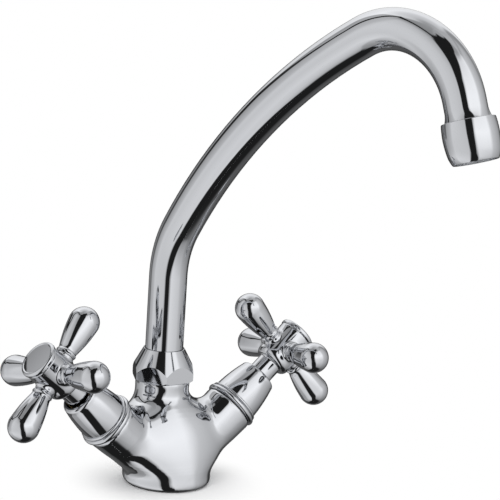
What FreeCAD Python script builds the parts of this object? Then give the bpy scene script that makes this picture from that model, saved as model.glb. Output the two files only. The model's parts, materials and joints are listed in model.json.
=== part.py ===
import FreeCAD, Part

import math
import os

from FreeCAD import Matrix, Placement, Rotation, Vector

# Two-handle kitchen mixer tap for one deck hole: a Y-shaped cast body, a swivelling bent-tube
# spout and two cross-head handles. Millimetres, +Z up. The origin is the centre of the base circle
# on the deck, +X towards the right-hand (cold) handle and -Y towards the person at the sink.

# Body casting
BASE_R = 21.8
BASE_EDGE_R = 2.5
NECK_R = 12.8
NECK_SHOULDER_Z = 48.4
NECK_SETBACK = 7.9
BLEND_R = 6.0
BRANCH_ANGLE = 40.7
BRANCH_START_Z = 3.25
BRANCH_ROOT_S = 10.0
BRANCH_ROOT_R = 11.0
BRANCH_END_R = 12.9
BRANCH_LENGTH = 45.0
BRANCH_RIM = 0.4

# Ovals that the trunk swells through. From the base: level, extra half width, extra half depth, setback.
BASE_OVALS = ((0.0, 0.0, 0.0, 0.0), (9.5, 2.4, -1.2, 0.6), (20.6, 10.7, -3.8, 1.4))
# From the neck: drop below its shoulder, extra half width, extra half depth, distance forward.
NECK_OVALS = ((17.8, 15.7, 2.5, 5.0), (12.3, 7.2, 1.1, 3.1), (8.8, 1.6, 0.3, 1.0), (6.3, 0.1, 0.02, 0.1),
              (3.3, 0.0, 0.0, 0.0), (0.0, 0.0, 0.0, 0.0))

# Waterways, inlets and the fixing thread under the base
SOCKET_R = 10.4
SOCKET_DEPTH = 14.0
NIPPLE_R = 11.7
NIPPLE_HEIGHT = 5.0
NECK_BORE_R = 9.0
NECK_BORE_DEPTH = 20.0
MIX_R = 6.0
MIX_DEPTH = 7.0
FEED_R = 4.0
CROSS_R = 3.2
INLET_R = 5.0
INLET_DEPTH = 12.0
INLET_X = 10.4
STUD_R = 4.0
STUD_DEPTH = 14.0
STUD_Y = -11.0
GASKET_OUTER_R = 19.0
GASKET_WIDTH = 2.6
GASKET_HEIGHT = 2.0

# Spout nut and the two slip washers that hold the spout's flange
NUT_ACROSS_FLATS = 27.0
NUT_HEIGHT = 14.7
NUT_TURN = 25.8
NUT_CONE_ANGLE = 28.5
NUT_TOP_R = 9.7
NUT_FOOT_CHAMFER = 0.9
SLIP_WASHER = 0.9

# Spout: riser, three bends in one plane, nozzle end
TUBE_R = 9.0
TUBE_WALL = 1.0
SPOUT_TURN = 12.5
RISER_TOP_Z = 97.6
BEND_1_R = 48.5
BEND_1_ANGLE = 30.3
BEND_2_R = 267.0
BEND_2_ANGLE = 30.3
BEND_3_R = 38.0
BEND_3_ANGLE = 100.4
NOZZLE_RUN = 25.4
FLARE_R = 9.9
FLARE_LENGTH = 4.5
TAIL_FLANGE_R = 10.9
TAIL_FLANGE = 1.8
TAIL_BORE_R = 6.2
TAIL_LENGTH = 17.0
TAIL_SPIGOT = 7.0
O_RING_WIRE_R = 1.1
O_RING_PITCH = 8.0

# Aerator on the nozzle end
AERATOR_TOP_R = 11.4
AERATOR_BULGE_R = 11.8
AERATOR_TAPER_R = 11.1
AERATOR_FOOT_R = 9.6
AERATOR_LENGTH = 17.3
AERATOR_BULGE_DROP = 6.6
AERATOR_TAPER_DROP = 13.5
AERATOR_EDGE = 0.4
AERATOR_MOUTH_R = 8.3
AERATOR_LIP = 1.2
CARTRIDGE_FLANGE = 1.0
CARTRIDGE_RECESS = 1.0
GRID_HOLE_R = 0.75
GRID_PITCH = 2.5
SEAL_WASHER = 1.4

# Valve set inside each branch
SEAT_SEAL = 2.0
SEAT_SEAL_R = 7.4
DISC_R = 8.0
DISC_THICKNESS = 3.0
PORT_R = 5.6
PORT_ANGLE = 80.0
DRIVE_PLATE = 2.4
CAVITY_R = 8.3
CAGE_R = 9.6
THREAD_LENGTH = 5.5
VALVE_WASHER = 0.8
VALVE_FLANGE_R = 11.3
VALVE_FLANGE = 2.2
VALVE_HEX = 17.0
VALVE_HEX_LENGTH = 7.0
GLAND_R = 6.6
GLAND_LENGTH = 3.6
SPINDLE_R = 3.9
SPINDLE_RING_WIRE_R = 0.55
SPINDLE_ROOM = 1.0
CLIP_R = 5.2
CLIP_THICKNESS = 0.8

# Bonnet: the tapered shroud with a double bead at its foot
BONNET_LENGTH = 21.9
BONNET_FOOT_R = 11.9
BONNET_MID_R = 11.1
BONNET_MOUTH_R = 9.4
BONNET_SHOULDER_R = 1.6
BONNET_WALL = 1.3
BONNET_LIP = 0.5
BEAD_R = 13.6
BEAD_WIDTH = 2.7
SECOND_BEAD_R = 12.8
SECOND_BEAD_WIDTH = 1.5

# Cross handle
SKIRT_R = 6.0
SKIRT_OVERLAP = 5.4
SKIRT_WALL = 0.9
HUB_FOOT_RISE = 8.3
HUB_FOOT_R = 7.6
HUB_BARREL_R = 9.1
HUB_WAIST_R = 8.8
HUB_HEIGHT = 19.1
HUB_ROUND = 1.1
HUB_BARREL_RISE = 5.3
HUB_WAIST_DROP = 4.0
CAP_OVERHANG = 0.3
ARM_RISE = 17.4
ARM_REACH = 28.4
ARM_TIP_R = 7.3
ARM_ROOT_R = 4.5
ARM_BEAD_R = 5.1
ARM_BEAD = 2.0
ARM_SWELL = 0.35
ARM_NECK = 0.3
BOSS_R = 4.5
BOSS_REACH = 10.0
BOSS_BLEND_R = 1.2
ARM_STUB_R = 3.0
ARM_STUB_REACH = 6.2
ARM_COUNT = 4
SPLINE_R = 3.6
SCREW_HEAD_R = 4.0
SCREW_HEAD = 2.4
SCREW_SHANK_R = 2.0
SCREW_LENGTH = 16.0
SCREW_SLOT = 0.9
CAP_SEAT_R = 5.6
CAP_SEAT_DEPTH = 4.2
CAP_R = 9.3
CAP_BAND = 1.9
CAP_FACE_R = 8.4
CAP_DOME = 0.9
CAP_STEM = 1.4
CAP_STEM_WALL = 1.0
CAP_EDGE = 0.5
LEFT_REST_TURN = 12.7
RIGHT_REST_TURN = -7.3

# Clearances
RUNNING_FIT = 0.1
SEAL_FIT = 0.05
AXIAL_PLAY = 0.1
TUBE_CLEARANCE = 0.35
DRILL_OVERRUN = 1.0

# Levels up the neck axis, from the deck
NIPPLE_TOP_Z = NECK_SHOULDER_Z + NIPPLE_HEIGHT
FLANGE_Z = NIPPLE_TOP_Z + SLIP_WASHER + AXIAL_PLAY
TUBE_START_Z = FLANGE_Z + TAIL_FLANGE
NUT_TOP_Z = NECK_SHOULDER_Z + NUT_HEIGHT
NUT_ROOF_Z = TUBE_START_Z + AXIAL_PLAY + SLIP_WASHER

# Level of the cartridge's flange, down from the aerator's top
CARTRIDGE_TOP = AERATOR_LENGTH / 2

# Levels out along a branch axis, from the point where the two axes meet
SEAT_S = BRANCH_LENGTH - SOCKET_DEPTH
FIXED_DISC_S = SEAT_S + SEAT_SEAL
TURNING_DISC_S = FIXED_DISC_S + DISC_THICKNESS + SEAL_FIT
DRIVE_S = TURNING_DISC_S + DISC_THICKNESS
VALVE_FLANGE_S = BRANCH_LENGTH + VALVE_WASHER
VALVE_HEX_S = VALVE_FLANGE_S + VALVE_FLANGE
GLAND_S = VALVE_HEX_S + VALVE_HEX_LENGTH
VALVE_TOP_S = GLAND_S + GLAND_LENGTH
MOUTH_S = BRANCH_LENGTH + BONNET_LENGTH
SKIRT_S = MOUTH_S - SKIRT_OVERLAP
HUB_FOOT_S = MOUTH_S + HUB_FOOT_RISE
ARM_S = MOUTH_S + ARM_RISE
HUB_TOP_S = HUB_FOOT_S + HUB_HEIGHT
CAP_SEAT_S = HUB_TOP_S - CAP_SEAT_DEPTH
SPINDLE_TOP_S = ARM_S - ARM_STUB_R - SPINDLE_ROOM

UP = Vector(0, 0, 1)
CENTRE = Vector(0, 0, 0)
SIDES = {"left": -1, "right": 1}


def cylinder(radius, low, high, x=0.0, y=0.0):
    """Upright cylinder between two levels."""
    return Part.makeCylinder(radius, high - low, Vector(x, y, low), UP)


def washer(outer, inner, low, high):
    """Flat ring about the local Z axis."""
    return cylinder(outer, low, high).cut(cylinder(inner, low - DRILL_OVERRUN, high + DRILL_OVERRUN))


def at(r, z):
    """Point of a half section, r out from the axis and z along it."""
    return Vector(r, 0, z)


def straight(*points):
    """Edges of an open half section through the points."""
    return [Part.LineSegment(a, b).toShape() for a, b in zip(points, points[1:])]


def bow(start, middle, end):
    """One arc of a half section."""
    return [Part.Arc(start, middle, end).toShape()]


def smooth(*points):
    """One smooth curve of a half section through the points."""
    curve = Part.BSplineCurve()
    curve.interpolate(list(points))
    return [curve.toShape()]


def revolved(edges):
    """Solid of revolution of a closed half section about the local Z axis."""
    face = Part.Face(Part.Wire(Part.__sortEdges__(edges)))
    return Part.makeSolid(face.revolve(CENTRE, UP, 360))


def dome(rim, apex):
    """Arc from a rim to its apex on the axis, part of a ball centred on the axis."""
    rise = apex.z - rim.z
    ball_r = (rim.x ** 2 + rise ** 2) / (2 * rise)
    half = rim.x / 2
    return bow(rim, at(half, apex.z - ball_r + math.sqrt(ball_r ** 2 - half ** 2)), apex)


def hexagon(across_flats, low, high, turn=0.0):
    """Upright hexagonal prism; at turn 0 one corner points along +X."""
    corner = across_flats / math.sqrt(3)
    angles = [math.radians(turn + 60 * k) for k in range(7)]
    outline = Part.makePolygon([Vector(corner * math.cos(a), corner * math.sin(a), low) for a in angles])
    return Part.Face(outline).extrude(Vector(0, 0, high - low))


def torus(ring_r, wire_r, level):
    """O-ring about the local Z axis."""
    return Part.makeTorus(ring_r, wire_r, Vector(0, 0, level), UP)


def placed(shape, frame):
    """Copy of a shape moved by a placement."""
    moved = shape.copy()
    moved.Placement = frame.multiply(moved.Placement)
    return moved


def branch_frame(side):
    """Frame of a branch: local +Z runs out along its axis and local +X points up and inwards."""
    rise = math.radians(BRANCH_ANGLE)
    axis = Vector(side * math.cos(rise), 0, math.sin(rise))
    up = Vector(-side * math.sin(rise), 0, math.cos(rise))
    across = axis.cross(up)
    return Placement(Matrix(up.x, across.x, axis.x, 0,
                            up.y, across.y, axis.y, 0,
                            up.z, across.z, axis.z, BRANCH_START_Z,
                            0, 0, 0, 1))


def neck_frame():
    """Frame of the neck axis, which stands behind the base's centre."""
    return Placement(Vector(0, NECK_SETBACK, 0), Rotation())


def spout_frame():
    """Frame of the spout's plane: local +X is the way that the spout points at rest."""
    return Placement(Vector(0, NECK_SETBACK, 0), Rotation(UP, SPOUT_TURN - 90))


# ---------------------------------------------------------------- body casting

def oval(level, half_width, half_depth, setback):
    """Level ellipse about a point behind the base's centre, or a circle where both halves are equal."""
    centre = Vector(0, setback, level)
    if half_width == half_depth:
        return Part.Wire([Part.makeCircle(half_width, centre, UP)])
    ellipse = Part.Ellipse(centre + Vector(half_width, 0, 0), centre + Vector(0, half_depth, 0), centre)
    return Part.Wire([ellipse.toShape()])


def trunk():
    """Middle of the casting: one smooth skin from the base circle, wide behind the branches, to the neck."""
    rings = []
    for level, wider, deeper, setback in BASE_OVALS:
        rings.append(oval(level, BASE_R + wider, BASE_R + deeper, setback))
    for drop, wider, deeper, forward in NECK_OVALS:
        rings.append(oval(NECK_SHOULDER_Z - drop, NECK_R + wider, NECK_R + deeper, NECK_SETBACK - forward))
    skin = Part.makeLoft(rings, True)
    foot = [edge for edge in skin.Edges if edge.isClosed() and edge.BoundBox.ZMax < BASE_EDGE_R]
    return skin.makeFillet(BASE_EDGE_R, foot)


def branch(side):
    """One arm of the Y, thickening towards its end face."""
    length = BRANCH_LENGTH - BRANCH_ROOT_S
    cone = Part.makeCone(BRANCH_ROOT_R, BRANCH_END_R, length, Vector(0, 0, BRANCH_ROOT_S), UP)
    rim = [edge for edge in cone.Edges if edge.isClosed() and edge.BoundBox.ZMin > BRANCH_ROOT_S + length / 2]
    return placed(cone.makeChamfer(BRANCH_RIM, rim), branch_frame(side))


def is_seam(shell, edge):
    """True for a blend edge: a free curve where a branch meets the trunk or the other branch."""
    plain = edge.Curve.TypeId in ("Part::GeomCircle", "Part::GeomLine", "Part::GeomEllipse")
    between_faces = len(shell.ancestorsOfType(edge, Part.Face)) == 2
    above_base = edge.BoundBox.ZMax > BASE_EDGE_R
    return between_faces and above_base and not plain and edge.BoundBox.ZMin < NECK_SHOULDER_Z - BASE_EDGE_R


def casting():
    """Outside of the body: trunk and both branches, blended where they meet."""
    reach = 4 * BRANCH_LENGTH
    below_deck = Part.makeBox(reach, reach, reach, Vector(-reach / 2, -reach / 2, -reach))
    shell = trunk().fuse([branch(side) for side in SIDES.values()]).cut(below_deck).removeSplitter()
    return shell.makeFillet(BLEND_R, [edge for edge in shell.Edges if is_seam(shell, edge)])


def neck_waterway():
    """Bore for the spout's tail with the mixing chamber under it."""
    bottom = NIPPLE_TOP_Z - NECK_BORE_DEPTH
    bore = cylinder(NECK_BORE_R, bottom, NIPPLE_TOP_Z + DRILL_OVERRUN)
    chamber = cylinder(MIX_R, bottom - MIX_DEPTH, bottom + DRILL_OVERRUN)
    return placed(bore.fuse(chamber), neck_frame())


def branch_waterway(side):
    """Valve socket, the feed behind its seat, the inlet thread below and the drilling to the chamber."""
    frame = branch_frame(side)
    feed_end = INLET_X / math.cos(math.radians(BRANCH_ANGLE))
    socket = cylinder(SOCKET_R, SEAT_S, BRANCH_LENGTH + DRILL_OVERRUN)
    feed = cylinder(FEED_R, feed_end, SEAT_S + DRILL_OVERRUN)
    inlet = cylinder(INLET_R, -DRILL_OVERRUN, INLET_DEPTH, side * INLET_X)
    start = Vector(0, NECK_SETBACK, NIPPLE_TOP_Z - NECK_BORE_DEPTH - MIX_DEPTH / 2)
    end = frame.multVec(Vector(0, 0, (TURNING_DISC_S + DRIVE_S) / 2))
    cross = Part.makeCylinder(CROSS_R, (end - start).Length, start, end - start)
    return placed(socket.fuse(feed), frame).fuse([inlet, cross])


def body():
    """Cast and machined body, hollow as the water runs through it."""
    nipple = placed(cylinder(NIPPLE_R, NECK_SHOULDER_Z - DRILL_OVERRUN, NIPPLE_TOP_Z), neck_frame())
    solid = casting().fuse(nipple)
    cuts = [neck_waterway()] + [branch_waterway(side) for side in SIDES.values()]
    cuts.append(washer(GASKET_OUTER_R, GASKET_OUTER_R - GASKET_WIDTH, -DRILL_OVERRUN, GASKET_HEIGHT))
    cuts.append(cylinder(STUD_R, -DRILL_OVERRUN, STUD_DEPTH, 0, STUD_Y))
    return solid.cut(cuts)


def base_gasket():
    """Rubber ring in the groove under the base."""
    return washer(GASKET_OUTER_R, GASKET_OUTER_R - GASKET_WIDTH, 0, GASKET_HEIGHT)


# ---------------------------------------------------------------- spout nut

def spout_nut():
    """Hexagon nut, coned from its mouth down over the corners, hollow over the nipple."""
    slope = math.tan(math.radians(NUT_CONE_ANGLE))
    corner = NUT_ACROSS_FLATS / math.sqrt(3)
    prism = hexagon(NUT_ACROSS_FLATS, NECK_SHOULDER_Z, NUT_TOP_Z, -90 - NUT_TURN)
    cone_foot = NUT_TOP_Z - (corner - NUT_TOP_R) / slope
    envelope = revolved(straight(
        at(0, NECK_SHOULDER_Z), at(corner - NUT_FOOT_CHAMFER, NECK_SHOULDER_Z),
        at(corner, NECK_SHOULDER_Z + NUT_FOOT_CHAMFER), at(corner, cone_foot),
        at(NUT_TOP_R, NUT_TOP_Z), at(0, NUT_TOP_Z), at(0, NECK_SHOULDER_Z)))
    thread = cylinder(NIPPLE_R + SEAL_FIT, NECK_SHOULDER_Z - DRILL_OVERRUN, NUT_ROOF_Z)
    mouth = cylinder(TUBE_R + TUBE_CLEARANCE, NECK_SHOULDER_Z, NUT_TOP_Z + DRILL_OVERRUN)
    return placed(prism.common(envelope).cut([thread, mouth]), neck_frame())


def lower_slip_washer():
    """Washer on the nipple, under the spout's flange."""
    ring = washer(NIPPLE_R, NECK_BORE_R + TUBE_CLEARANCE, NIPPLE_TOP_Z, NIPPLE_TOP_Z + SLIP_WASHER)
    return placed(ring, neck_frame())


def upper_slip_washer():
    """Washer under the nut's roof, above the spout's flange."""
    ring = washer(NIPPLE_R, TUBE_R + TUBE_CLEARANCE, NUT_ROOF_Z - SLIP_WASHER, NUT_ROOF_Z)
    return placed(ring, neck_frame())


# ---------------------------------------------------------------- spout

def spout_path():
    """Centre line of the spout in its own plane, and the nozzle's end point and direction."""
    edges = straight(at(0, TUBE_START_Z), at(0, RISER_TOP_Z))
    here = at(0, RISER_TOP_Z)
    heading = 90.0
    for radius, angle in ((BEND_1_R, BEND_1_ANGLE), (BEND_2_R, BEND_2_ANGLE), (BEND_3_R, BEND_3_ANGLE)):
        hub = here + radius * heading_vector(heading - 90)
        middle = hub - radius * heading_vector(heading - angle / 2 - 90)
        end = hub - radius * heading_vector(heading - angle - 90)
        edges += bow(here, middle, end)
        here = end
        heading -= angle
    return edges, here, heading_vector(heading)


def heading_vector(degrees):
    """Unit vector in the spout's plane, measured up from the way that the spout points."""
    return at(math.cos(math.radians(degrees)), math.sin(math.radians(degrees)))


def nozzle_frame():
    """Frame of the nozzle: local +Z runs out of the tube and its origin is the aerator's top."""
    _, bend_end, direction = spout_path()
    top = bend_end + direction * (NOZZLE_RUN - AERATOR_LENGTH)
    return spout_frame().multiply(Placement(top, Rotation(UP, direction)))


def tube_along(radius):
    """Round bar of the given radius along the spout's centre line, up to the aerator's top."""
    edges, bend_end, direction = spout_path()
    edges += straight(bend_end, bend_end + direction * (NOZZLE_RUN - AERATOR_LENGTH))
    section = Part.Wire([Part.makeCircle(radius, at(0, TUBE_START_Z), UP)])
    return Part.Wire(edges).makePipeShell([section], True, True)


def spout_tube():
    """Bent tube with the flared collar that the aerator screws on to."""
    collar_end = CARTRIDGE_TOP - SEAL_WASHER
    thread_r = AERATOR_TOP_R - TUBE_WALL
    collar = revolved(
        bow(at(TUBE_R, -FLARE_LENGTH), at(TUBE_R + (FLARE_R - TUBE_R) / 4, -FLARE_LENGTH / 2), at(FLARE_R, 0))
        + straight(at(FLARE_R, 0), at(thread_r, 0), at(thread_r, collar_end),
                   at(TUBE_R - TUBE_WALL, collar_end), at(TUBE_R - TUBE_WALL, -FLARE_LENGTH),
                   at(TUBE_R, -FLARE_LENGTH)))
    bar = placed(tube_along(TUBE_R), spout_frame())
    bore = placed(tube_along(TUBE_R - TUBE_WALL), spout_frame())
    return bar.cut(bore).fuse(placed(collar, nozzle_frame())).removeSplitter()


def o_ring_levels():
    """Heights of the two tail O-rings."""
    lowest = FLANGE_Z - TAIL_LENGTH + O_RING_PITCH / 2
    return [lowest, lowest + O_RING_PITCH]


def spout_tail():
    """Turned bush at the tube's foot: spigot, flange and grooved barrel in the neck bore."""
    barrel_r = NECK_BORE_R - RUNNING_FIT
    bottom = FLANGE_Z - TAIL_LENGTH
    tail = cylinder(barrel_r, bottom, FLANGE_Z)
    tail = tail.fuse([cylinder(TAIL_FLANGE_R, FLANGE_Z, TUBE_START_Z),
                      cylinder(TUBE_R - TUBE_WALL, TUBE_START_Z, TUBE_START_Z + TAIL_SPIGOT)])
    grooves = []
    for level in o_ring_levels():
        floor = barrel_r - 2 * O_RING_WIRE_R
        grooves.append(washer(NECK_BORE_R, floor, level - O_RING_WIRE_R, level + O_RING_WIRE_R))
    bore = cylinder(TAIL_BORE_R, bottom - DRILL_OVERRUN, TUBE_START_Z + TAIL_SPIGOT + DRILL_OVERRUN)
    return placed(tail.cut(grooves + [bore]), neck_frame())


def spout_o_rings():
    """The two O-rings of the tail."""
    ring_r = NECK_BORE_R - SEAL_FIT - O_RING_WIRE_R
    rings = [torus(ring_r, O_RING_WIRE_R, level) for level in o_ring_levels()]
    return placed(Part.makeCompound(rings), neck_frame())


def aerator_housing():
    """Chromed sleeve with a swelling side and an open foot."""
    wall_r = AERATOR_TOP_R - TUBE_WALL
    rim_r = AERATOR_TOP_R - AERATOR_EDGE
    seat = CARTRIDGE_TOP + CARTRIDGE_FLANGE
    lip = AERATOR_LENGTH - AERATOR_LIP
    pocket_r = AERATOR_MOUTH_R + AERATOR_EDGE
    outline = straight(at(wall_r, 0), at(rim_r, 0))
    bend = AERATOR_EDGE * math.sqrt(0.5)
    outline += bow(at(rim_r, 0), at(rim_r + bend, AERATOR_EDGE - bend), at(AERATOR_TOP_R, AERATOR_EDGE))
    outline += smooth(at(AERATOR_TOP_R, AERATOR_EDGE), at(AERATOR_BULGE_R, AERATOR_BULGE_DROP),
                      at(AERATOR_TAPER_R, AERATOR_TAPER_DROP), at(AERATOR_FOOT_R, AERATOR_LENGTH))
    outline += straight(at(AERATOR_FOOT_R, AERATOR_LENGTH), at(AERATOR_MOUTH_R, AERATOR_LENGTH),
                        at(AERATOR_MOUTH_R, lip), at(pocket_r, lip), at(pocket_r, seat), at(wall_r, seat),
                        at(wall_r, 0))
    return placed(revolved(outline), nozzle_frame())


def grid_points(reach, pitch):
    """Centres of a hexagonal pattern of holes that stay within a radius."""
    points = []
    rows = int(reach / pitch) + 1
    for row in range(-rows, rows + 1):
        for column in range(-2 * rows, 2 * rows + 1):
            x = (column + row / 2) * pitch
            y = row * pitch * math.sqrt(3) / 2
            if math.hypot(x, y) <= reach:
                points.append((x, y))
    return points


def aerator_insert():
    """Moulded cartridge: a flanged cup whose lower face is a grid of jets."""
    low = CARTRIDGE_TOP
    high = AERATOR_LENGTH - CARTRIDGE_RECESS
    flange_r = AERATOR_TOP_R - TUBE_WALL - TUBE_CLEARANCE
    flange = cylinder(flange_r, low, low + CARTRIDGE_FLANGE)
    cup = cylinder(AERATOR_MOUTH_R - SEAL_FIT, low, high).fuse(flange)
    hollow = cylinder(AERATOR_MOUTH_R - TUBE_WALL, low - DRILL_OVERRUN, high - TUBE_WALL)
    reach = AERATOR_MOUTH_R - TUBE_WALL - GRID_HOLE_R
    centres = grid_points(reach, GRID_PITCH)
    holes = [cylinder(GRID_HOLE_R, low, high + DRILL_OVERRUN, x, y) for x, y in centres]
    return placed(cup.cut([hollow] + holes), nozzle_frame())


def aerator_washer():
    """Rubber washer between the tube's collar and the cartridge."""
    low = CARTRIDGE_TOP - SEAL_WASHER
    outer = AERATOR_TOP_R - TUBE_WALL - 2 * TUBE_CLEARANCE
    ring = washer(outer, AERATOR_MOUTH_R - 2 * TUBE_WALL, low, CARTRIDGE_TOP)
    return placed(ring, nozzle_frame())


# ---------------------------------------------------------------- valve set, in a branch's own frame

def valve_body():
    """Turned and milled headwork: windowed cage, thread, flange, hexagon and gland."""
    thread_s = BRANCH_LENGTH - THREAD_LENGTH
    solid = cylinder(CAGE_R, FIXED_DISC_S, thread_s)
    solid = solid.fuse([cylinder(SOCKET_R - SEAL_FIT, thread_s, VALVE_FLANGE_S),
                        cylinder(VALVE_FLANGE_R, VALVE_FLANGE_S, VALVE_HEX_S),
                        hexagon(VALVE_HEX, VALVE_HEX_S, GLAND_S),
                        cylinder(GLAND_R, GLAND_S, VALVE_TOP_S)])
    cavity_top = DRIVE_S + DRIVE_PLATE + 2 * AXIAL_PLAY
    cavity = cylinder(CAVITY_R, FIXED_DISC_S - DRILL_OVERRUN, cavity_top)
    bore = cylinder(SPINDLE_R + RUNNING_FIT, FIXED_DISC_S, VALVE_TOP_S + DRILL_OVERRUN)
    drill = cylinder(DISC_THICKNESS / 2, -2 * CAGE_R, 2 * CAGE_R)
    across = Placement(Vector(0, 0, TURNING_DISC_S + DISC_THICKNESS / 2), Rotation(Vector(0, 1, 0), 90))
    return solid.cut([cavity, bore, placed(drill, across)])


def valve_washer():
    """Fibre washer under the headwork's flange."""
    return washer(VALVE_FLANGE_R, SOCKET_R, BRANCH_LENGTH, VALVE_FLANGE_S)


def seat_seal():
    """Rubber ring between the seat and the fixed disc."""
    return washer(SEAT_SEAL_R, FEED_R, SEAT_S, FIXED_DISC_S)


def disc_with_ports(low, turn):
    """Ceramic disc with two facing quarter ports."""
    disc = cylinder(DISC_R, low, low + DISC_THICKNESS)
    ports = []
    for k in range(2):
        height = DISC_THICKNESS + 2 * DRILL_OVERRUN
        sector = Part.makeCylinder(PORT_R, height, Vector(0, 0, low - DRILL_OVERRUN), UP, PORT_ANGLE)
        sector.rotate(CENTRE, UP, turn + 180 * k)
        ports.append(sector)
    core = cylinder(SCREW_SHANK_R, low, low + DISC_THICKNESS)
    return disc.cut(ports).fuse(core).removeSplitter()


def fixed_disc():
    """Ceramic disc that stays in the cage."""
    return disc_with_ports(FIXED_DISC_S, 0)


def turning_disc(turn):
    """Ceramic disc that the spindle turns; at rest its ports stand a quarter turn away."""
    return disc_with_ports(TURNING_DISC_S, 90 + turn)


def spindle():
    """Spindle with its drive plate, two grooves and a tapped, splined top."""
    plate = cylinder(DISC_R - RUNNING_FIT, DRIVE_S, DRIVE_S + DRIVE_PLATE)
    spline_s = VALVE_TOP_S + DISC_THICKNESS
    shaft = cylinder(SPINDLE_R, DRIVE_S, spline_s)
    head = cylinder(SPLINE_R, spline_s, SPINDLE_TOP_S)
    half_groove = SPINDLE_RING_WIRE_R + RUNNING_FIT
    seal_groove = washer(CAVITY_R, SPINDLE_R - 2 * SPINDLE_RING_WIRE_R, seal_s() - half_groove,
                         seal_s() + half_groove)
    clip_groove = washer(CLIP_R, SPINDLE_R - CLIP_THICKNESS, clip_s(), clip_s() + CLIP_THICKNESS)
    tapping = cylinder(SCREW_SHANK_R, screw_foot_s(), SPINDLE_TOP_S + DRILL_OVERRUN)
    return plate.fuse([shaft, head]).cut([seal_groove, clip_groove, tapping])


def seal_s():
    """Level of the spindle's O-ring."""
    return VALVE_HEX_S + VALVE_HEX_LENGTH / 2


def clip_s():
    """Level of the circlip, just above the headwork."""
    return VALVE_TOP_S + AXIAL_PLAY


def screw_foot_s():
    """Level that the handle screw reaches down to."""
    return CAP_SEAT_S - SCREW_LENGTH


def spindle_o_ring():
    """O-ring in the spindle's groove."""
    return torus(SPINDLE_R + SEAL_FIT - SPINDLE_RING_WIRE_R, SPINDLE_RING_WIRE_R, seal_s())


def spindle_clip():
    """Open circlip that keeps the spindle in the headwork."""
    ring = washer(CLIP_R, SPINDLE_R - CLIP_THICKNESS, clip_s(), clip_s() + CLIP_THICKNESS)
    corner = Vector(0, -SPINDLE_R / 2, clip_s() - CLIP_THICKNESS)
    gap = Part.makeBox(CLIP_R, SPINDLE_R, 3 * CLIP_THICKNESS, corner)
    return ring.cut(gap)


def bonnet():
    """Spun shroud: double bead at the foot, slightly full sides, rounded shoulder, open mouth."""
    foot = BRANCH_LENGTH
    bead_top = foot + BEAD_WIDTH
    second_top = bead_top + SECOND_BEAD_WIDTH
    shoulder = MOUTH_S - BONNET_SHOULDER_R
    inner_mouth = BONNET_MOUTH_R - BONNET_SHOULDER_R - BONNET_LIP
    bead_in = BEAD_R - BEAD_WIDTH / 2
    second_in = SECOND_BEAD_R - SECOND_BEAD_WIDTH / 2
    middle_s = (second_top + shoulder) / 2
    bend = BONNET_SHOULDER_R * (1 - math.sqrt(0.5))
    outline = straight(at(VALVE_FLANGE_R + SEAL_FIT, foot), at(bead_in, foot))
    outline += bow(at(bead_in, foot), at(BEAD_R, foot + BEAD_WIDTH / 2), at(bead_in, bead_top))
    outline += straight(at(bead_in, bead_top), at(second_in, bead_top))
    outline += bow(at(second_in, bead_top), at(SECOND_BEAD_R, bead_top + SECOND_BEAD_WIDTH / 2),
                   at(second_in, second_top))
    outline += straight(at(second_in, second_top), at(BONNET_FOOT_R, second_top))
    outline += bow(at(BONNET_FOOT_R, second_top), at(BONNET_MID_R, middle_s), at(BONNET_MOUTH_R, shoulder))
    outline += bow(at(BONNET_MOUTH_R, shoulder), at(BONNET_MOUTH_R - bend, MOUTH_S - bend),
                   at(BONNET_MOUTH_R - BONNET_SHOULDER_R, MOUTH_S))
    outline += straight(at(BONNET_MOUTH_R - BONNET_SHOULDER_R, MOUTH_S), at(inner_mouth, MOUTH_S),
                        at(inner_mouth, MOUTH_S - BONNET_WALL),
                        at(BONNET_MOUTH_R - BONNET_WALL, shoulder - BONNET_WALL),
                        at(BONNET_MID_R - BONNET_WALL, middle_s),
                        at(VALVE_FLANGE_R + SEAL_FIT, VALVE_HEX_S), at(VALVE_FLANGE_R + SEAL_FIT, foot))
    return revolved(outline)


# ---------------------------------------------------------------- handle, in a branch's own frame

def arm_frame(k, turn):
    """Frame of arm k: local +Z runs out along the arm from the handle's centre."""
    angle = math.radians(turn + 360 / ARM_COUNT * k)
    direction = Vector(math.cos(angle), math.sin(angle), 0)
    return Placement(Vector(0, 0, ARM_S), Rotation(UP, direction))


def is_boss_root(edge):
    """True for the curve where a boss meets the hub's barrel."""
    reach = max(math.hypot(point.x, point.y) for point in edge.discretize(5))
    free = edge.Curve.TypeId not in ("Part::GeomCircle", "Part::GeomLine")
    return free and reach > HUB_WAIST_R - BOSS_BLEND_R and edge.BoundBox.ZLength > BOSS_R


def on_arms(shape, turn):
    """Copies of a shape at the four arms of a handle."""
    return [placed(shape, arm_frame(k, turn)) for k in range(ARM_COUNT)]


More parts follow.
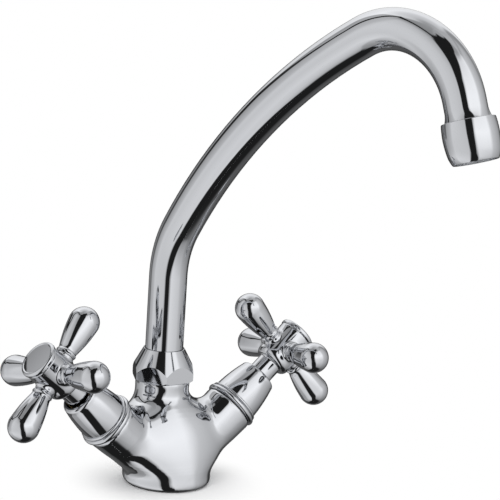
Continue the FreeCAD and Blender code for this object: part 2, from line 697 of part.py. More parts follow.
def handle_hub(turn):
    """Hub: hollow skirt, barrel with a blended boss for each arm, slight waist and flare up to the cap."""
    outline = straight(at(SPLINE_R, SKIRT_S), at(SKIRT_R, SKIRT_S), at(SKIRT_R, HUB_FOOT_S),
                       at(HUB_FOOT_R, HUB_FOOT_S))
    outline += smooth(at(HUB_FOOT_R, HUB_FOOT_S), at(HUB_FOOT_R + HUB_ROUND, HUB_FOOT_S + HUB_ROUND),
                      at(HUB_BARREL_R, HUB_FOOT_S + HUB_BARREL_RISE),
                      at(HUB_WAIST_R, HUB_TOP_S - HUB_WAIST_DROP), at(CAP_R - CAP_OVERHANG, HUB_TOP_S))
    outline += straight(at(CAP_R - CAP_OVERHANG, HUB_TOP_S), at(SPLINE_R, HUB_TOP_S), at(SPLINE_R, SKIRT_S))
    bosses = on_arms(cylinder(BOSS_R, SPLINE_R, BOSS_REACH), turn)
    hub = revolved(outline).fuse(bosses)
    hub = hub.makeFillet(BOSS_BLEND_R, [edge for edge in hub.Edges if is_boss_root(edge)])
    hub = hub.fuse(cylinder(SPLINE_R, SPINDLE_TOP_S, HUB_TOP_S))
    skirt_bore = cylinder(SKIRT_R - SKIRT_WALL, SKIRT_S - DRILL_OVERRUN, HUB_FOOT_S - SKIRT_WALL)
    screw_hole = cylinder(SCREW_SHANK_R + SEAL_FIT, SPINDLE_TOP_S - DRILL_OVERRUN, HUB_TOP_S + DRILL_OVERRUN)
    cap_seat = cylinder(CAP_SEAT_R, CAP_SEAT_S, HUB_TOP_S + DRILL_OVERRUN)
    sockets = on_arms(cylinder(ARM_STUB_R, ARM_STUB_REACH, ARM_REACH), turn)
    return hub.cut([skirt_bore, screw_hole, cap_seat] + sockets)


def one_arm():
    """Club-shaped arm: stub, short neck, bead, swelling taper and ball end."""
    neck_r = BOSS_R - SEAL_FIT
    bead_s = BOSS_REACH + ARM_NECK
    root_s = bead_s + ARM_BEAD
    slope = math.asin((ARM_TIP_R - ARM_ROOT_R) / (ARM_REACH - root_s))
    tangent = at(ARM_TIP_R * math.cos(slope), ARM_REACH - ARM_TIP_R * math.sin(slope))
    swell = at((ARM_ROOT_R + tangent.x) / 2 + ARM_SWELL, (root_s + tangent.z) / 2)
    outline = straight(at(0, ARM_STUB_REACH), at(ARM_STUB_R - SEAL_FIT, ARM_STUB_REACH),
                       at(ARM_STUB_R - SEAL_FIT, BOSS_REACH), at(neck_r, BOSS_REACH), at(neck_r, bead_s))
    outline += bow(at(neck_r, bead_s), at(ARM_BEAD_R, bead_s + ARM_BEAD / 2), at(ARM_ROOT_R, root_s))
    outline += bow(at(ARM_ROOT_R, root_s), swell, tangent)
    outline += bow(tangent, at(ARM_TIP_R * math.sqrt(0.5), ARM_REACH + ARM_TIP_R * math.sqrt(0.5)),
                   at(0, ARM_REACH + ARM_TIP_R))
    outline += straight(at(0, ARM_REACH + ARM_TIP_R), at(0, ARM_STUB_REACH))
    return revolved(outline)


def handle_arms(turn):
    """The four arms of one handle."""
    return Part.makeCompound(on_arms(one_arm(), turn))


def handle_screw():
    """Slotted screw that pulls the hub down on the spindle."""
    head = cylinder(SCREW_HEAD_R, CAP_SEAT_S, CAP_SEAT_S + SCREW_HEAD)
    shank = cylinder(SCREW_SHANK_R, screw_foot_s(), CAP_SEAT_S)
    slot = Part.makeBox(2 * SCREW_HEAD_R, SCREW_SLOT, SCREW_HEAD,
                        Vector(-SCREW_HEAD_R, -SCREW_SLOT / 2, CAP_SEAT_S + SCREW_HEAD / 2))
    return head.fuse(shank).cut(slot)


def index_cap():
    """Pressed-in cap: band, small step, shallow dome and hollow stem."""
    band_top = HUB_TOP_S + CAP_BAND
    band_r = CAP_R - CAP_EDGE
    face_rim = at(CAP_FACE_R, band_top + CAP_EDGE)
    stem_r = CAP_SEAT_R - SEAL_FIT
    bore_r = stem_r - CAP_STEM_WALL
    apex = at(0, band_top + CAP_DOME)
    outline = straight(at(0, HUB_TOP_S), at(bore_r, HUB_TOP_S), at(bore_r, HUB_TOP_S - CAP_STEM),
                       at(stem_r, HUB_TOP_S - CAP_STEM), at(stem_r, HUB_TOP_S), at(band_r, HUB_TOP_S))
    outline += bow(at(band_r, HUB_TOP_S), at(CAP_R, HUB_TOP_S + CAP_BAND / 2), at(band_r, band_top))
    outline += straight(at(band_r, band_top), at(CAP_FACE_R, band_top), face_rim)
    outline += dome(face_rim, apex)
    outline += straight(apex, at(0, HUB_TOP_S))
    return revolved(outline)


# ---------------------------------------------------------------- assembly

def nodes():
    """Every named sub-part in its place."""
    parts = {
        "body": body(),
        "base_gasket": base_gasket(),
        "spout_nut": spout_nut(),
        "lower_slip_washer": lower_slip_washer(),
        "upper_slip_washer": upper_slip_washer(),
        "spout_tube": spout_tube(),
        "spout_tail": spout_tail(),
        "spout_o_rings": spout_o_rings(),
        "aerator_housing": aerator_housing(),
        "aerator_insert": aerator_insert(),
        "aerator_washer": aerator_washer(),
    }
    for name, side in SIDES.items():
        turn = LEFT_REST_TURN if side < 0 else RIGHT_REST_TURN
        frame = branch_frame(side)
        parts.update({
            name + "_bonnet": placed(bonnet(), frame),
            name + "_valve_body": placed(valve_body(), frame),
            name + "_valve_washer": placed(valve_washer(), frame),
            name + "_seat_seal": placed(seat_seal(), frame),
            name + "_fixed_disc": placed(fixed_disc(), frame),
            name + "_turning_disc": placed(turning_disc(turn), frame),
            name + "_spindle": placed(spindle(), frame),
            name + "_spindle_o_ring": placed(spindle_o_ring(), frame),
            name + "_spindle_clip": placed(spindle_clip(), frame),
            name + "_handle_hub": placed(handle_hub(turn), frame),
            name + "_handle_arms": placed(handle_arms(turn), frame),
            name + "_handle_screw": placed(handle_screw(), frame),
            name + "_index_cap": placed(index_cap(), frame),
        })
    return parts


def main():
    """Write one STEP file for each sub-part."""
    os.makedirs("parts", exist_ok=True)
    for name, shape in nodes().items():
        shape.exportStep("parts/" + name + ".step")
        print(name, "solids", len(shape.Solids), "valid", shape.isValid(), "volume", round(shape.Volume, 1))


main()
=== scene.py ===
"""Two-handle kitchen mixer tap: smooth polished pieces, inner finishes and the studio round it.

Lengths are in metres and angles in radians, apart from the tent's rows, which are in degrees.
"""
import json
import logging
import math
from dataclasses import astuple, dataclass, field
from enum import Enum

import bmesh
import bpy
from mathutils import Matrix, Vector


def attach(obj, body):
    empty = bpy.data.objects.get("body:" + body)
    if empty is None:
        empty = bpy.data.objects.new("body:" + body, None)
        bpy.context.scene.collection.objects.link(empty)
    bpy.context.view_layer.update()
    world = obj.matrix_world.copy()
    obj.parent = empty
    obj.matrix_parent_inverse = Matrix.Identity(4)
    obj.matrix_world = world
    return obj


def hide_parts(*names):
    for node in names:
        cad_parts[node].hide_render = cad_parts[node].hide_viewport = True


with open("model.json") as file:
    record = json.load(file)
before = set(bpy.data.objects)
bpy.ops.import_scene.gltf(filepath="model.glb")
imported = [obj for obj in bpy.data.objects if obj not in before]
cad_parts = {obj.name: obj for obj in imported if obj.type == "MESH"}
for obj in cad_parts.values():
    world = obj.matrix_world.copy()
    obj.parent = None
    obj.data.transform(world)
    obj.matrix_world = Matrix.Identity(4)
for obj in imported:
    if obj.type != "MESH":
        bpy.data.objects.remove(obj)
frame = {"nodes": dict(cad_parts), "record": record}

logging.basicConfig(level=logging.INFO, format="%(message)s")
log = logging.getLogger("tap")

Colour = tuple[float, float, float]
Source = bpy.types.NodeSocket | float
MERGE_DISTANCE = 1e-7
CAD_MERGE_DISTANCE = 1e-6
SHARP_ANGLE = math.radians(32)
TURNED_STEPS = 144
ARC_STEP = math.radians(5)
LEAST_ARC_STEPS = 3
DIAGONAL = math.sqrt(0.5)
SMOOTHING = 0.5
WHITE = (1, 1, 1, 1)


class Side(Enum):
    """Side of the tap as the person at the sink sees it; the value is its sign along X."""

    LEFT = -1
    RIGHT = 1

    def node(self, name: str) -> str:
        """Name of this side's node or piece."""
        return f"{self.name.lower()}_{name}"


class Ray(Enum):
    """Kinds of ray that a stage piece may be seen by."""

    CAMERA = "visible_camera"
    DIFFUSE = "visible_diffuse"
    GLOSSY = "visible_glossy"
    TRANSMISSION = "visible_transmission"
    SCATTER = "visible_volume_scatter"
    SHADOW = "visible_shadow"


# ------------------------------------ finishes

class Nodes:
    """Short way to add and join the nodes of one material or world."""

    def __init__(self, owner: bpy.types.Material | bpy.types.World) -> None:
        """Gives the owner an empty node tree and keeps it.

        Args:
            owner: The material or world.
        """
        owner.use_nodes = True
        self.tree = owner.node_tree
        self.tree.nodes.clear()

    def add(self, kind: str, **values: object) -> bpy.types.Node:
        """Adds a node.

        Args:
            kind: Node type without its ShaderNode prefix.
            values: Properties of the node, or sockets of it where a name has no such property.

        Returns:
            The new node.
        """
        node = self.tree.nodes.new("ShaderNode" + kind)
        for key, value in values.items():
            if hasattr(node, key):
                setattr(node, key, value)
            else:
                node.inputs[key.replace("_", " ")].default_value = value
        return node

    def join(self, source: bpy.types.NodeSocket, target: bpy.types.NodeSocket) -> None:
        """Links an output to an input."""
        self.tree.links.new(source, target)

    def feed(self, kind: str, *sources: Source, **values: object) -> bpy.types.NodeSocket:
        """Adds a node and fills its inputs in order.

        Args:
            kind: Node type without its ShaderNode prefix.
            sources: A socket or a number for each input, from the first on.
            values: Properties and sockets, as add() takes them.

        Returns:
            The node's first output.
        """
        node = self.add(kind, **values)
        for socket, source in zip(node.inputs, sources):
            if isinstance(source, bpy.types.NodeSocket):
                self.join(source, socket)
            else:
                socket.default_value = source
        return node.outputs[0]

    def maths(self, operation: str, first: Source, second: Source) -> bpy.types.NodeSocket:
        """Adds a Math node on two sockets or numbers."""
        return self.feed("Math", first, second, operation=operation)

    def ramp(self, source: bpy.types.NodeSocket, low: float, high: float, to_low: float, to_high: float,
             smooth: bool = False) -> bpy.types.NodeSocket:
        """Maps a value from the span low to high onto to_low to to_high, with eased ends if smooth."""
        easing = "SMOOTHSTEP" if smooth else "LINEAR"
        return self.feed("MapRange", source, low, high, to_low, to_high, interpolation_type=easing)

    def looked_at(self) -> bpy.types.NodeSocket:
        """Tells the rays that look from those that only carry light.

        Returns:
            1 for camera, glossy and transmission rays, 0 for the others.
        """
        path = self.add("LightPath")
        seen = self.maths("MAXIMUM", path.outputs["Is Camera Ray"], path.outputs["Is Glossy Ray"])
        return self.maths("MAXIMUM", seen, path.outputs["Is Transmission Ray"])

    def show(self, shader: bpy.types.NodeSocket, kind: str = "OutputMaterial") -> None:
        """Joins a shader to a new output node."""
        self.join(shader, self.add(kind).inputs["Surface"])


@dataclass(frozen=True)
class Finish:
    """A surface whose shade, gloss and relief vary with a fine grain in the piece's own space."""

    name: str
    shade: Colour
    second_shade: Colour
    roughness: float
    roughness_spread: float
    grain: float
    relief: float
    metallic: float = 0.0
    stretch: tuple[float, float, float] = (1.0, 1.0, 1.0)
    detail: float = 3.0
    cloud_size: float = 12.0
    cloud_detail: float = 2.0
    cloud_span: tuple[float, float] = (0.3, 0.7)

    def material(self) -> bpy.types.Material:
        """Makes the material once, and gives the same one each time.

        Returns:
            The finish's material.
        """
        made = bpy.data.materials.get(self.name)
        if made:
            return made
        made = bpy.data.materials.new(self.name)
        nodes = Nodes(made)
        shader = nodes.add("BsdfPrincipled", Metallic=self.metallic)
        place = nodes.feed("Mapping", nodes.add("TexCoord").outputs["Object"], Scale=self.stretch)
        grain = nodes.feed("TexNoise", place, Scale=1 / self.grain, Detail=self.detail)
        cloud_scale = 1 / (self.grain * self.cloud_size)
        cloud = nodes.feed("TexNoise", place, Scale=cloud_scale, Detail=self.cloud_detail)
        mix = nodes.add("Mix", data_type="RGBA")
        nodes.join(cloud, mix.inputs["Factor"])
        ends = [socket for socket in mix.inputs if socket.type == "RGBA"]
        for end, shade in zip(ends, (self.shade, self.second_shade)):
            end.default_value = (*shade, 1)
        result = next(socket for socket in mix.outputs if socket.type == "RGBA")
        nodes.join(result, shader.inputs["Base Color"])
        low, high = self.roughness - self.roughness_spread, self.roughness + self.roughness_spread
        nodes.join(nodes.ramp(cloud, *self.cloud_span, low, high), shader.inputs["Roughness"])
        bump = nodes.add("Bump", Distance=self.relief)
        nodes.join(grain, bump.inputs["Height"])
        nodes.join(bump.outputs["Normal"], shader.inputs["Normal"])
        nodes.show(shader.outputs["BSDF"])
        return made


FINISHES = {
    "chrome": Finish("polished_chrome", (0.52, 0.53, 0.555), (0.55, 0.56, 0.58),
                     metallic=1.0, roughness=0.045, roughness_spread=0.012, grain=0.011, relief=4e-6),
    "brass": Finish("machined_brass", (0.60, 0.42, 0.16), (0.68, 0.50, 0.22), stretch=(1.0, 1.0, 6.0),
                    metallic=1.0, roughness=0.26, roughness_spread=0.06, grain=4e-4, relief=4e-6),
    "steel": Finish("bright_steel", (0.42, 0.43, 0.44), (0.50, 0.51, 0.52), stretch=(1.0, 1.0, 5.0),
                    metallic=1.0, roughness=0.24, roughness_spread=0.06, grain=3e-4, relief=3e-6),
    "ceramic": Finish("lapped_ceramic", (0.80, 0.79, 0.75), (0.86, 0.85, 0.82),
                      roughness=0.14, roughness_spread=0.04, grain=5e-4, relief=1e-6),
    "rubber": Finish("moulded_rubber", (0.012, 0.012, 0.013), (0.022, 0.022, 0.023),
                     roughness=0.62, roughness_spread=0.08, grain=4e-4, relief=8e-6),
    "nylon": Finish("moulded_nylon", (0.70, 0.70, 0.66), (0.78, 0.78, 0.74),
                    roughness=0.42, roughness_spread=0.07, grain=5e-4, relief=5e-6),
    "fibre": Finish("pressed_fibre", (0.20, 0.045, 0.025), (0.34, 0.09, 0.05),
                    roughness=0.78, roughness_spread=0.08, grain=2e-4, relief=12e-6),
    "insert_plastic": Finish("moulded_insert", (0.44, 0.45, 0.46), (0.52, 0.53, 0.54),
                             roughness=0.38, roughness_spread=0.06, grain=4e-4, relief=5e-6),
}


# ------------------------------------ making pieces

@dataclass
class HalfSection:
    """Half section of a turned piece, as points (distance from the axis, level along it)."""

    points: list[Vector] = field(default_factory=list)

    def line(self, *ends: tuple[float, float]) -> "HalfSection":
        """Adds straight stretches to each of the ends in turn."""
        self.points += [Vector(end) for end in ends]
        return self

    def arc(self, through: tuple[float, float], end: tuple[float, float],
            step: float = ARC_STEP) -> "HalfSection":
        """Adds an arc from the last point.

        Args:
            through: A point that the arc passes.
            end: The arc's end.
            step: Angle between two points of it, at most.

        Returns:
            This half section.
        """
        a, b, c = self.points[-1], Vector(through), Vector(end)
        middle = circle_centre(a, b, c)
        spoke = a - middle
        sweep = signed_angle(spoke, b - middle) + signed_angle(b - middle, c - middle)
        steps = max(LEAST_ARC_STEPS, math.ceil(abs(sweep) / step))
        self.points += [middle + Matrix.Rotation(sweep * k / steps, 2) @ spoke for k in range(1, steps)]
        self.points.append(c)
        return self

    def curve(self, *knots: tuple[float, float], steps: int = 7) -> "HalfSection":
        """Adds a smooth curve from the last point through the knots.

        Args:
            knots: Points that the curve passes, the last of which ends it.
            steps: Stretches between two knots.

        Returns:
            This half section.
        """
        stops = [self.points[-1]] + [Vector(knot) for knot in knots]
        slopes = [(after - before) / 2 for before, after in zip(stops, stops[2:])]
        slopes = [stops[1] - stops[0] - slopes[0] / 2] + slopes + [stops[-1] - stops[-2] - slopes[-1] / 2]
        for k, (start, end) in enumerate(zip(stops, stops[1:])):
            for j in range(1, steps + 1):
                self.points.append(hermite(start, end, slopes[k], slopes[k + 1], j / steps))
        return self


def signed_angle(first: Vector, second: Vector) -> float:
    """Angle from one flat vector to another, anticlockwise positive."""
    return math.atan2(first.x * second.y - first.y * second.x, first.dot(second))


def circle_centre(a: Vector, b: Vector, c: Vector) -> Vector:
    """Works out the centre of the circle through three flat points.

    Args:
        a: First point.
        b: Second point.
        c: Third point.

    Returns:
        The centre.
    """
    ab, ac = b - a, c - a
    double = 2 * (ab.x * ac.y - ab.y * ac.x)
    x = (ac.y * ab.length_squared - ab.y * ac.length_squared) / double
    y = (ab.x * ac.length_squared - ac.x * ab.length_squared) / double
    return a + Vector((x, y))


def hermite(start: Vector, end: Vector, leave: Vector, arrive: Vector, t: float) -> Vector:
    """Point a share t of the way along a smooth stretch, with its slopes at the start and the end."""
    low = start * (1 + 2 * t) * (1 - t) ** 2 + leave * t * (1 - t) ** 2
    return low + end * t * t * (3 - 2 * t) + arrive * t * t * (t - 1)


def turned(section: HalfSection, place: Matrix, closed: bool,
           steps: int = TURNED_STEPS) -> bmesh.types.BMesh:
    """Spins a half section about the local Z axis and puts it in its place.

    Args:
        section: The half section.
        place: Frame of the turned piece.
        closed: Whether the half section goes round a bore; otherwise both its ends lie on the axis.
        steps: Facets round the piece.

    Returns:
        The piece's mesh, with its sharp edges marked.
    """
    bm = bmesh.new()
    verts = [bm.verts.new((point.x, 0, point.y)) for point in section.points]
    pairs = list(zip(verts, verts[1:])) + ([(verts[-1], verts[0])] if closed else [])
    edges = [bm.edges.new(pair) for pair in pairs]
    bmesh.ops.spin(bm, geom=verts + edges, cent=(0, 0, 0), axis=(0, 0, 1), dvec=(0, 0, 0),
                   angle=math.tau, steps=steps, use_merge=True)
    bmesh.ops.remove_doubles(bm, verts=bm.verts, dist=MERGE_DISTANCE)
    bmesh.ops.recalc_face_normals(bm, faces=bm.faces)
    bmesh.ops.transform(bm, matrix=place, verts=bm.verts)
    mark_sharp(bm)
    return bm


def mark_sharp(bm: bmesh.types.BMesh) -> None:
    """Shades the faces smoothly, apart from the edges that turn by more than the sharp angle."""
    for face in bm.faces:
        face.smooth = True
    for edge in bm.edges:
        edge.smooth = edge.calc_face_angle(0.0) < SHARP_ANGLE


def joined(meshes: list[bmesh.types.BMesh]) -> bmesh.types.BMesh:
    """Puts several meshes into one.

    Args:
        meshes: The meshes, which are used up.

    Returns:
        The mesh that holds them all.
    """
    whole = bmesh.new()
    for bm in meshes:
        mesh = bpy.data.meshes.new("stretch")
        bm.to_mesh(mesh)
        bm.free()
        whole.from_mesh(mesh)
        bpy.data.meshes.remove(mesh)
    return whole


def add_object(name: str, bm: bmesh.types.BMesh, material: bpy.types.Material) -> bpy.types.Object:
    """Makes an object of a mesh, at the origin.

    Args:
        name: The object's name.
        bm: Its mesh, which is used up.
        material: Its material.

    Returns:
        The object.
    """
    mesh = bpy.data.meshes.new(name)
    bm.to_mesh(mesh)
    bm.free()
    mesh.materials.append(material)
    made = bpy.data.objects.new(name, mesh)
    bpy.context.scene.collection.objects.link(made)
    return made


def body_of_node(node: str) -> str:
    """Name of the moving body that a node belongs to."""
    bodies = frame["record"]["behaviour"]["bodies"]
    return next(name for name, held in bodies.items() if node in held)


def slot_of_node(node: str) -> str:
    """Name of the record's material slot of a node."""
    return next(row["material_slot"] for row in frame["record"]["subparts"] if row["node"] == node)


def stand_for(node: str, bm: bmesh.types.BMesh) -> bpy.types.Object:
    """Makes the polished piece that is shown for a CAD node.

    Args:
        node: The CAD node.
        bm: The piece's mesh, which is used up.

    Returns:
        The piece.
    """
    slot = slot_of_node(node)
    triangles = sum(len(face.verts) - 2 for face in bm.faces)
    piece = add_object(node + "_polished", bm, FINISHES[slot].material())
    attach(piece, body_of_node(node))
    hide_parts(node)
    log.info("%s stands for %s: %d triangles", piece.name, node, triangles)
    return piece


def polish(bm: bmesh.types.BMesh, verts: list[bmesh.types.BMVert], rounds: int) -> None:
    """Smooths the vertices given, for as many rounds."""
    for _ in range(rounds):
        bmesh.ops.smooth_vert(bm, verts=verts, factor=SMOOTHING,
                              use_axis_x=True, use_axis_y=True, use_axis_z=True)


def smoothed_copy(node: str, voxel: float, rounds: int) -> bmesh.types.BMesh:
    """Copies a CAD node's mesh as an even, gently polished one.

    Args:
        node: The CAD node.
        voxel: Side of the even mesh's cells.
        rounds: Rounds of smoothing, which take out the facets.

    Returns:
        The new mesh.
    """
    bm = bmesh.new()
    bm.from_mesh(frame["nodes"][node].data)
    bmesh.ops.remove_doubles(bm, verts=bm.verts, dist=CAD_MERGE_DISTANCE)
    draft = add_object(node + "_draft", bm, FINISHES["chrome"].material())
    remesh = draft.modifiers.new("even", "REMESH")
    remesh.mode = "VOXEL"
    remesh.voxel_size = voxel
    shaped = draft.evaluated_get(bpy.context.evaluated_depsgraph_get())
    even = bmesh.new()
    even.from_mesh(shaped.data)
    bpy.data.objects.remove(draft)
    polish(even, even.verts[:], rounds)
    bmesh.ops.recalc_face_normals(even, faces=even.faces)
    for face in even.faces:
        face.smooth = True
    return even


# ------------------------------------ body casting

@dataclass
class BodyCasting:
    """Y-shaped body: trunk, neck and two branches, cast, machined and polished."""

    voxel: float = 5e-4
    rounds: int = 16
    polished_from: float = 0.009
    polished_to: float = 0.044
    polished_reach: float = 0.038
    margins: tuple[float, ...] = (0.0, 0.0015, 0.003)
    margin_rounds: int = 28

    def build(self) -> None:
        """Makes the polished casting."""
        bm = smoothed_copy("body", self.voxel, self.rounds)
        self.soften_blends(bm)
        stand_for("body", bm)

    def soften_blends(self, bm: bmesh.types.BMesh) -> None:
        """Polishes the skin and the waterways where the branches run into the trunk.

        It stays clear of the base's edge and the seats.

        Args:
            bm: The casting's mesh.
        """
        for margin in self.margins:
            low, high = self.polished_from + margin, self.polished_to - margin
            reach = self.polished_reach - margin
            verts = [vert for vert in bm.verts if low < vert.co.z < high and vert.co.length < reach]
            polish(bm, verts, self.margin_rounds)


@dataclass
class Neck:
    """Neck axis behind the base's centre, with its levels from the deck."""

    setback: float = 0.0079
    shoulder_z: float = 0.0484
    washer: float = 0.0009
    play: float = 0.0001
    flange: float = 0.0018
    nipple_height: float = 0.005

    @property
    def tube_start_z(self) -> float:
        """Level of the tube's foot, on the flange of its tail."""
        return self.shoulder_z + self.nipple_height + self.washer + self.play + self.flange

    @property
    def roof_z(self) -> float:
        """Level of the nut's roof."""
        return self.tube_start_z + self.play + self.washer

    def place(self) -> Matrix:
        """Frame of the neck axis."""
        return Matrix.Translation((0, self.setback, 0))


@dataclass
class SpoutNut:
    """Hexagon nut with a coned top, which holds the spout down."""

    neck: Neck
    flats: int = 6
    across_flats: float = 0.027
    height: float = 0.0147
    turn: float = math.radians(25.8)
    cone_angle: float = math.radians(28.5)
    top_r: float = 0.0097
    mouth_r: float = 0.00935
    thread_r: float = 0.01175
    foot_chamfer: float = 0.0009
    edge_r: float = 0.00022
    edge_segments: int = 2

    def build(self) -> None:
        """Spins the coned ring, cuts its flats and bevels its edges."""
        corner = self.across_flats / 2 / math.cos(math.pi / self.flats)
        foot, top = self.neck.shoulder_z, self.neck.shoulder_z + self.height
        cone_foot = top - (corner - self.top_r) / math.tan(self.cone_angle)
        section = HalfSection().line(
            (self.thread_r, foot), (corner - self.foot_chamfer, foot), (corner, foot + self.foot_chamfer),
            (corner, cone_foot), (self.top_r, top), (self.mouth_r, top), (self.mouth_r, self.neck.roof_z),
            (self.thread_r, self.neck.roof_z))
        bm = turned(section, self.neck.place(), closed=True)
        middle = self.neck.place().translation
        for k in range(self.flats):
            facing = math.tau / self.flats * (k + 0.5) - math.pi / 2 - self.turn
            across = Vector((math.cos(facing), math.sin(facing), 0))
            self.cut_flat(bm, middle + across * self.across_flats / 2, across)
        self.bevel_edges(bm)
        piece = stand_for("spout_nut", bm)
        weighted = piece.modifiers.new("even_flats", "WEIGHTED_NORMAL")
        weighted.keep_sharp = True

    def cut_flat(self, bm: bmesh.types.BMesh, point: Vector, across: Vector) -> None:
        """Cuts one flat and closes it.

        Args:
            bm: The nut's mesh.
            point: Middle of the flat.
            across: The flat's outward direction.
        """
        geometry = bm.verts[:] + bm.edges[:] + bm.faces[:]
        cut = bmesh.ops.bisect_plane(bm, geom=geometry, dist=MERGE_DISTANCE, plane_co=point,
                                     plane_no=across, clear_outer=True)
        rim = [edge for edge in cut["geom_cut"] if isinstance(edge, bmesh.types.BMEdge)]
        bmesh.ops.contextual_create(bm, geom=rim)

    def bevel_edges(self, bm: bmesh.types.BMesh) -> None:
        """Bevels the nut's outer edges and shades it.

        The slivers that the cuts leave at its corners hold the clamped bevel down to a few micrometres,
        which keeps the edges crisp.

        Args:
            bm: The nut's mesh.
        """
        bmesh.ops.recalc_face_normals(bm, faces=bm.faces)
        axis = self.neck.place().translation
        reach = self.mouth_r + self.edge_r
        sharp = [edge for edge in bm.edges if edge.calc_face_angle(0.0) > SHARP_ANGLE / 2 and
                 all((vert.co - axis).xy.length > reach for vert in edge.verts)]
        bmesh.ops.bevel(bm, geom=sharp, offset=self.edge_r, offset_type="OFFSET", profile=0.5,
                        segments=self.edge_segments, affect="EDGES", clamp_overlap=True, material=-1)
        mark_sharp(bm)


# ------------------------------------ spout

@dataclass(frozen=True)
class Bend:
    """One bend of the spout's tube."""

    radius: float
    angle: float
    steps: int


@dataclass
class Spout:
    """Bent tube with its flared end, and the aerator on it."""

    neck: Neck
    turn: float = math.radians(12.5)
    tube_r: float = 0.009
    wall: float = 0.001
    riser_top_z: float = 0.0976
    bends: tuple[Bend, ...] = (Bend(0.0485, math.radians(30.3), 14), Bend(0.267, math.radians(30.3), 20),
                               Bend(0.038, math.radians(100.4), 42))
    nozzle_run: float = 0.0254
    flare_r: float = 0.0099
    flare_length: float = 0.0045
    flare_steps: int = 8
    around: int = 112
    aerator_length: float = 0.0173
    aerator_top_r: float = 0.0114
    bulge_r: float = 0.0118
    bulge_drop: float = 0.0066
    taper_r: float = 0.0111
    taper_drop: float = 0.0135
    foot_r: float = 0.0096
    mouth_r: float = 0.0083
    lip: float = 0.0012
    edge: float = 0.0004
    seal: float = 0.0014
    cartridge_flange: float = 0.001

    def build(self) -> None:
        """Makes the tube and the aerator's sleeve."""
        stand_for("spout_tube", self.tube())
        stand_for("aerator_housing", self.sleeve())

    def place(self) -> Matrix:
        """Frame of the spout's plane: local +X is the way that it points at rest."""
        return self.neck.place() @ Matrix.Rotation(self.turn - math.pi / 2, 4, "Z")

    def heading(self, angle: float) -> Vector:
        """Direction in the spout's plane, measured up from the way that it points."""
        return Vector((math.cos(angle), 0, math.sin(angle)))

    def bend_hubs(self) -> tuple[list[Vector], Vector, Vector]:
        """Works out where the bends turn.

        Returns:
            The bends' centres, the point where the last ends, and the nozzle's direction.
        """
        here, angle = Vector((0, 0, self.riser_top_z)), math.pi / 2
        hubs = []
        for bend in self.bends:
            hubs.append(here + bend.radius * self.heading(angle - math.pi / 2))
            angle -= bend.angle
            here = hubs[-1] - bend.radius * self.heading(angle - math.pi / 2)
        return hubs, here, self.heading(angle)

    def nozzle_place(self) -> Matrix:
        """Frame of the nozzle: local +Z runs out of the tube, from the aerator's top.

        Returns:
            The frame.
        """
        _, end, direction = self.bend_hubs()
        top = end + direction * (self.nozzle_run - self.aerator_length)
        turn = Vector((0, 0, 1)).rotation_difference(direction).to_matrix().to_4x4()
        return self.place() @ Matrix.Translation(top) @ turn

    def collar_end(self) -> float:
        """Depth of the tube's collar inside the aerator."""
        return self.aerator_length / 2 - self.seal

    def tube(self) -> bmesh.types.BMesh:
        """Sweeps the tube's outside and bore and closes them at both ends.

        Returns:
            The tube's mesh.
        """
        bm = bmesh.new()
        skin_start, skin_end = self.sweep(bm, self.tube_r)
        bore_start, bore_end = self.sweep(bm, self.tube_r - self.wall)
        skin_end = self.flare(bm, skin_end)
        bore_end = self.extrude(bm, bore_end, self.bend_hubs()[2] * (self.flare_length + self.collar_end()))
        bmesh.ops.bridge_loops(bm, edges=skin_start + bore_start)
        bmesh.ops.bridge_loops(bm, edges=skin_end + bore_end)
        bmesh.ops.recalc_face_normals(bm, faces=bm.faces)
        bmesh.ops.transform(bm, matrix=self.place(), verts=bm.verts)
        mark_sharp(bm)
        return bm

    def extrude(self, bm: bmesh.types.BMesh, ring: list[bmesh.types.BMEdge], by: Vector,
                grow: float = 1.0) -> list[bmesh.types.BMEdge]:
        """Carries a ring of edges on, with the wall that it leaves.

        Args:
            bm: The tube's mesh.
            ring: The ring of edges.
            by: How far it moves.
            grow: How much larger it gets.

        Returns:
            The new ring.
        """
        made = bmesh.ops.extrude_edge_only(bm, edges=ring)["geom"]
        verts = [item for item in made if isinstance(item, bmesh.types.BMVert)]
        middle = sum((vert.co for vert in verts), Vector()) / len(verts)
        bmesh.ops.scale(bm, vec=(grow,) * 3, space=Matrix.Translation(-middle), verts=verts)
        bmesh.ops.translate(bm, vec=by, verts=verts)
        moved = set(verts)
        edges = [item for item in made if isinstance(item, bmesh.types.BMEdge)]
        return [edge for edge in edges if moved.issuperset(edge.verts)]

    def sweep(self, bm: bmesh.types.BMesh,
              radius: float) -> tuple[list[bmesh.types.BMEdge], list[bmesh.types.BMEdge]]:
        """Draws one skin of the tube from its foot to where the flare starts.

        Args:
            bm: The tube's mesh.
            radius: The skin's radius.

        Returns:
            The skin's first and last rings of edges.
        """
        circle = bmesh.ops.create_circle(bm, segments=self.around, radius=radius,
                                         matrix=Matrix.Translation((0, 0, self.neck.tube_start_z)))
        first = list({edge for vert in circle["verts"] for edge in vert.link_edges})
        ring = self.extrude(bm, first, Vector((0, 0, self.riser_top_z - self.neck.tube_start_z)))
        hubs, _, direction = self.bend_hubs()
        for bend, hub in zip(self.bends, hubs):
            verts = list({vert for edge in ring for vert in edge.verts})
            spun = bmesh.ops.spin(bm, geom=verts + ring, cent=hub, axis=(0, 1, 0), dvec=(0, 0, 0),
                                  angle=bend.angle, steps=bend.steps, use_merge=False)
            ring = [item for item in spun["geom_last"] if isinstance(item, bmesh.types.BMEdge)]
        run = self.nozzle_run - self.aerator_length - self.flare_length
        return first, self.extrude(bm, ring, direction * run)

